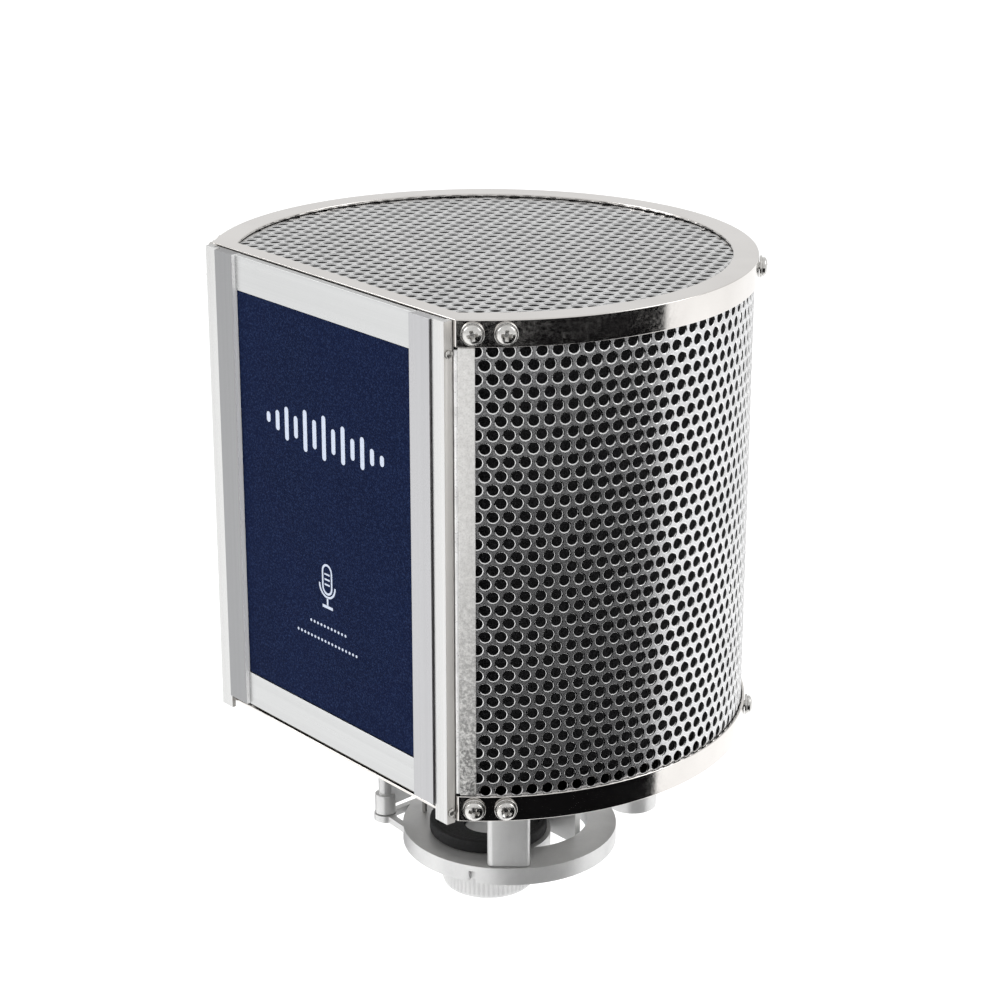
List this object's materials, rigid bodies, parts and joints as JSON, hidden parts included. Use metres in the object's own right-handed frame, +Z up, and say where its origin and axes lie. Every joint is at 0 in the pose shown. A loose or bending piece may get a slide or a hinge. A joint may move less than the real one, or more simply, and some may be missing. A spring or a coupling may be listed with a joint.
{
  "type": "microphone isolation shield",
  "caption": "D-shaped perforated metal shield lined with foam, with a slide-out pop screen, a microphone cradle below and a stand post.",
  "frame": {"origin": "centre of the stand post's lower face, where a microphone stand screws in", "axes": "+Z up along the stand post; the flat front with the pop screen faces -Y; +X to the right seen from the front"},
  "size_m": [0.22, 0.1928, 0.2823],
  "materials": {
    "nickel": "polished nickel plate",
    "chrome": "polished",
    "aluminium": "satin anodised",
    "fabric": "navy woven",
    "backing": "black mesh",
    "foam": "open cell",
    "casting": "silver satin",
    "plastic": "light grey",
    "rubber": "matte",
    "steel": "zinc plated"
  },
  "bodies": {
    "housing": {"base_bar": "steel", "bottom_plate": "steel", "bottom_rim": "nickel", "bracket_screw_back": "steel", "bracket_screw_side": "steel", "bracket_screw_wide": "steel", "clamp_screw_left": "steel", "clamp_screw_right": "steel", "cradle_back_bracket": "casting", "cradle_front_post": "casting", "cradle_guide_pin": "steel", "cradle_ring": "casting", "cradle_screw_back": "steel", "cradle_screw_side": "steel", "cradle_screw_wide": "steel", "cradle_side_post": "casting", "edge_strip_left": "steel", "edge_strip_right": "steel", "extrusion_left": "aluminium", "extrusion_right": "aluminium", "foam_liner": "foam", "nut_strip_bottom_left": "steel", "nut_strip_bottom_right": "steel", "nut_strip_top_left": "steel", "nut_strip_top_right": "steel", "perforated_shell": "chrome", "rear_nut_bottom_left": "steel", "rear_nut_bottom_right": "steel", "rear_nut_top_left": "steel", "rear_nut_top_right": "steel", "rim_screw_bottom_1": "steel", "rim_screw_bottom_2": "steel", "rim_screw_bottom_3": "steel", "rim_screw_bottom_4": "steel", "rim_screw_bottom_5": "steel", "rim_screw_bottom_6": "steel", "rim_screw_top_1": "steel", "rim_screw_top_2": "steel", "rim_screw_top_3": "steel", "rim_screw_top_4": "steel", "rim_screw_top_5": "steel", "rim_screw_top_6": "steel", "rubber_pad": "rubber", "rubber_seat_ring": "rubber", "stand_insert": "steel", "stand_post": "casting", "stand_post_screw": "steel", "stop_screw_left": "steel", "stop_screw_right": "steel", "top_foam": "foam", "top_grille": "chrome", "top_rim": "nickel"},
    "pop_screen": {"screen_back_fabric": "backing", "screen_bottom_rail": "aluminium", "screen_front_fabric": "fabric", "screen_stile_left": "aluminium", "screen_stile_right": "aluminium", "screen_top_rail": "aluminium"},
    "lock_nut_body": {"lock_nut": "plastic"}
  },
  "joints": [
    {"name": "pop_screen_slide", "type": "slide", "parent": "housing", "child": "pop_screen", "axis": [0, 0, 1], "range_m": [0, 0.18]},
    {"name": "lock_nut_turn", "type": "hinge", "parent": "housing", "child": "lock_nut_body", "pos_m": [0, -0.085, 0.0072], "axis": [0, 0, 1], "continuous": true}
  ]
}
